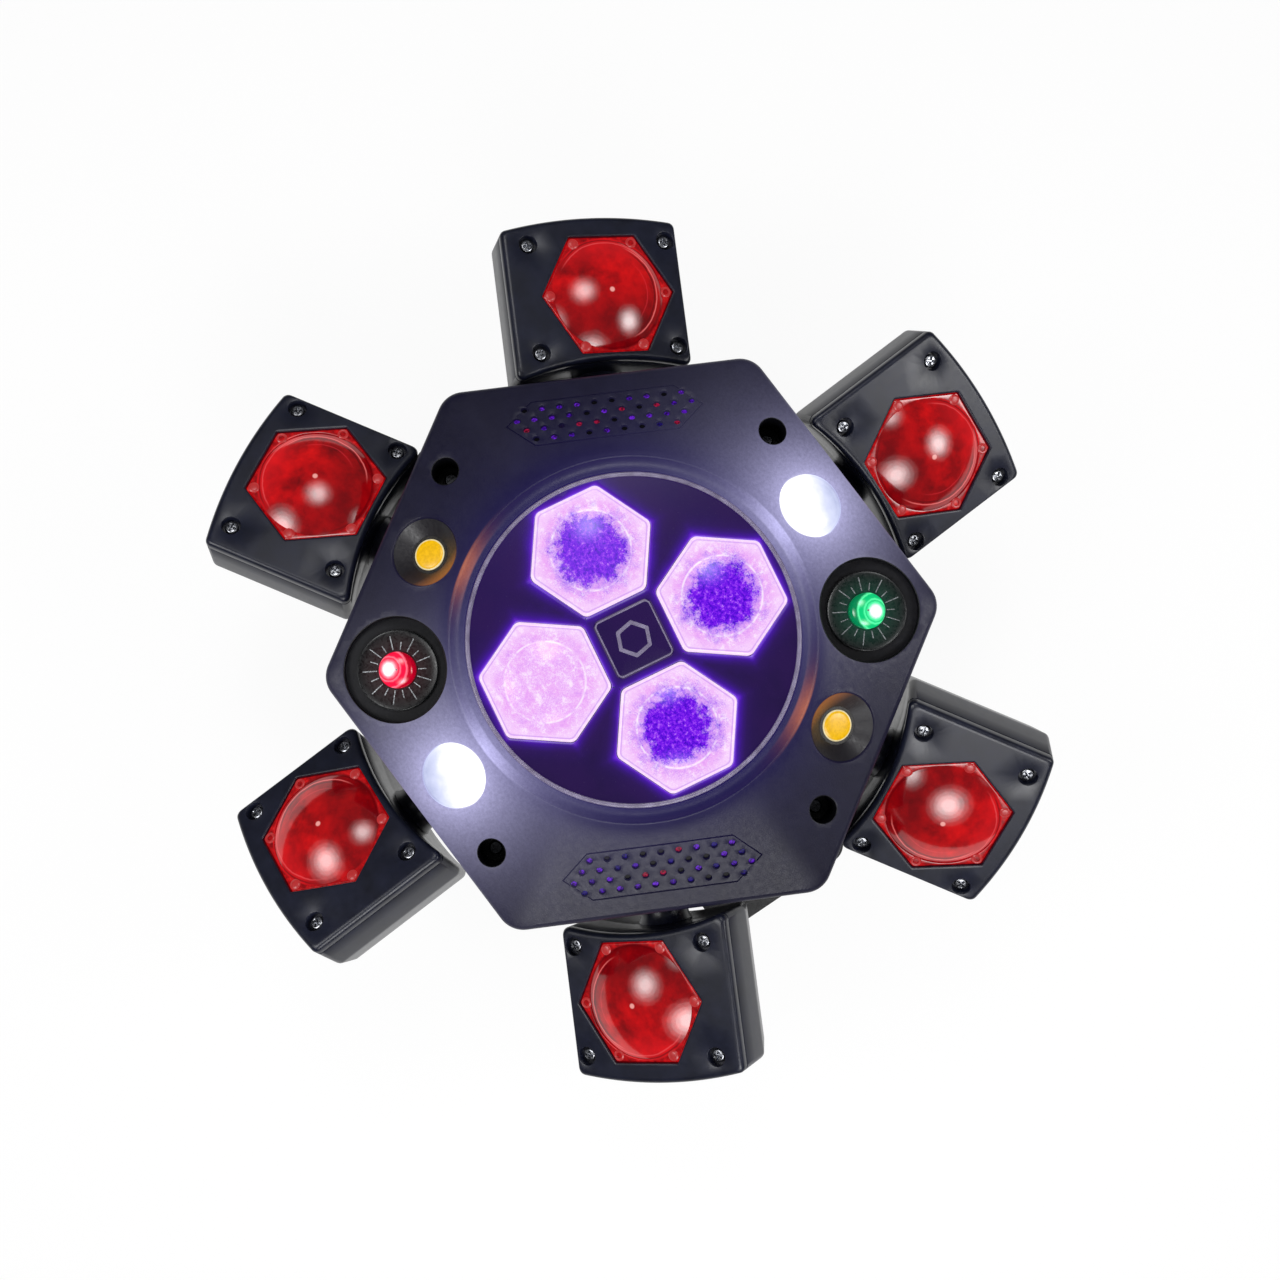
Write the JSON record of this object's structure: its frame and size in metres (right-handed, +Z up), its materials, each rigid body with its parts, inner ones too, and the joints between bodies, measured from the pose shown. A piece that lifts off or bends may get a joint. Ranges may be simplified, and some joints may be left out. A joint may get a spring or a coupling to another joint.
{
  "type": "bee eye laser light",
  "caption": "Stage effect light with lamp heads on turning arms round a six-sided body, a spinning bee eye lens disc, strobe, amber and laser lights, on a panning base.",
  "frame": {"origin": "middle of the footprint, on the surface the rubber feet stand on, on the pan axis", "axes": "+Z up along the pan axis, lit face up; -Y is the control panel side, +Y the socket side, the hanging strap runs along X"},
  "size_m": [0.3773, 0.3916, 0.162],
  "materials": {
    "black_abs": "fine-grained black ABS moulding",
    "gloss_black": "polished black acrylic",
    "red_lens": "clear red moulded acrylic lens",
    "violet_lens": "clear acrylic lens, lit lavender and violet from behind",
    "strobe_diffuser": "white diffuser, lit",
    "amber_led": "amber chip-on-board LED on a cream board, lit",
    "laser_glass": "laser housing with a glowing lens, green and red",
    "star_disc": "dark disc with engraved silver ray lines",
    "screw_steel": "dark zinc-plated cross-head screws",
    "rubber": "matt black rubber",
    "coated_steel": "black powder-coated steel sheet",
    "black_nylon": "smooth black nylon",
    "aluminium": "natural aluminium",
    "motor_steel": "laminated steel and black enamel",
    "belt_rubber": "toothed rubber belt",
    "circuit_board": "green solder mask",
    "socket_zinc": "black die-cast sockets",
    "button_grey": "grey silicone caps"
  },
  "bodies": {
    "base": {"base_shell": "black_abs", "base_plate": "coated_steel", "hanging_strap": "coated_steel", "rubber_feet": "rubber", "pan_motor": "motor_steel", "pan_belt": "belt_rubber", "display_board": "circuit_board", "power_inlet": "black_nylon", "dmx_sockets": "socket_zinc", "power_supply": "circuit_board"},
    "turret": {"front_housing": "black_abs", "rear_shell": "black_abs", "pan_spindle": "black_nylon", "cover_screws": "screw_steel", "arm_motors": "motor_steel", "disc_motor": "motor_steel", "laser_modules": "laser_glass", "laser_star_discs": "star_disc", "strobe_lenses": "strobe_diffuser", "amber_leds": "amber_led", "grille_boards": "circuit_board"},
    "lens_wheel": {"lens_disc": "gloss_black", "bee_lenses": "violet_lens", "centre_plate": "gloss_black", "disc_board": "circuit_board"},
    "drive_pulley": {"motor_pulley": "aluminium"},
    "head_1": {"head_casing_1": "black_abs", "head_bezel_1": "black_abs", "head_lens_1": "red_lens", "head_led_1": "aluminium", "head_screws_1": "screw_steel"},
    "head_2": {"head_casing_2": "black_abs", "head_bezel_2": "black_abs", "head_lens_2": "red_lens", "head_led_2": "aluminium", "head_screws_2": "screw_steel"},
    "head_3": {"head_casing_3": "black_abs", "head_bezel_3": "black_abs", "head_lens_3": "red_lens", "head_led_3": "aluminium", "head_screws_3": "screw_steel"},
    "head_4": {"head_casing_4": "black_abs", "head_bezel_4": "black_abs", "head_lens_4": "red_lens", "head_led_4": "aluminium", "head_screws_4": "screw_steel"},
    "head_5": {"head_casing_5": "black_abs", "head_bezel_5": "black_abs", "head_lens_5": "red_lens", "head_led_5": "aluminium", "head_screws_5": "screw_steel"},
    "head_6": {"head_casing_6": "black_abs", "head_bezel_6": "black_abs", "head_lens_6": "red_lens", "head_led_6": "aluminium", "head_screws_6": "screw_steel"},
    "button_1": {"menu_button_1": "button_grey"},
    "button_2": {"menu_button_2": "button_grey"},
    "button_3": {"menu_button_3": "button_grey"},
    "button_4": {"menu_button_4": "button_grey"}
  },
  "joints": [
    {"name": "pan", "type": "hinge", "parent": "base", "child": "turret", "pos_m": [0, 0, 0.045], "axis": [0, 0, 1], "range_deg": [-270, 270]},
    {"name": "pulley_spin", "type": "hinge", "parent": "base", "child": "drive_pulley", "pos_m": [0.062, 0, 0.019], "axis": [0, 0, 1], "range_deg": [-1020, 1020]},
    {"name": "bee_eye_spin", "type": "hinge", "parent": "turret", "child": "lens_wheel", "pos_m": [0, 0, 0.14], "axis": [0, 0, 1], "continuous": true},
    {"name": "arm_turn_1", "type": "hinge", "parent": "turret", "child": "head_1", "pos_m": [0.08313, 0.05559, 0.091], "axis": [0.8313, 0.5559, 0], "range_deg": [-134.9, 75.1]},
    {"name": "arm_turn_2", "type": "hinge", "parent": "turret", "child": "head_2", "pos_m": [-0.00658, 0.09978, 0.091], "axis": [-0.0658, 0.9978, 0], "range_deg": [-126.5, 83.5]},
    {"name": "arm_turn_3", "type": "hinge", "parent": "turret", "child": "head_3", "pos_m": [-0.0897, 0.0442, 0.091], "axis": [-0.897, 0.442, 0], "range_deg": [-119.5, 90.5]},
    {"name": "arm_turn_4", "type": "hinge", "parent": "turret", "child": "head_4", "pos_m": [-0.08313, -0.05559, 0.091], "axis": [-0.8313, -0.5559, 0], "range_deg": [-123.3, 86.7]},
    {"name": "arm_turn_5", "type": "hinge", "parent": "turret", "child": "head_5", "pos_m": [0.00658, -0.09978, 0.091], "axis": [0.0658, -0.9978, 0], "range_deg": [-133.7, 76.3]},
    {"name": "arm_turn_6", "type": "hinge", "parent": "turret", "child": "head_6", "pos_m": [0.0897, -0.0442, 0.091], "axis": [0.897, -0.442, 0], "range_deg": [-133.9, 76.1]},
    {"name": "button_press_1", "type": "slide", "parent": "base", "child": "button_1", "axis": [0, 1, 0], "range_m": [0, 0.0012], "stiffness_N_per_m": 600},
    {"name": "button_press_2", "type": "slide", "parent": "base", "child": "button_2", "axis": [0, 1, 0], "range_m": [0, 0.0012], "stiffness_N_per_m": 600},
    {"name": "button_press_3", "type": "slide", "parent": "base", "child": "button_3", "axis": [0, 1, 0], "range_m": [0, 0.0012], "stiffness_N_per_m": 600},
    {"name": "button_press_4", "type": "slide", "parent": "base", "child": "button_4", "axis": [0, 1, 0], "range_m": [0, 0.0012], "stiffness_N_per_m": 600}
  ],
  "couplings": [
    {"joint": "pulley_spin", "follows": "pan", "ratio": 3.75}
  ]
}
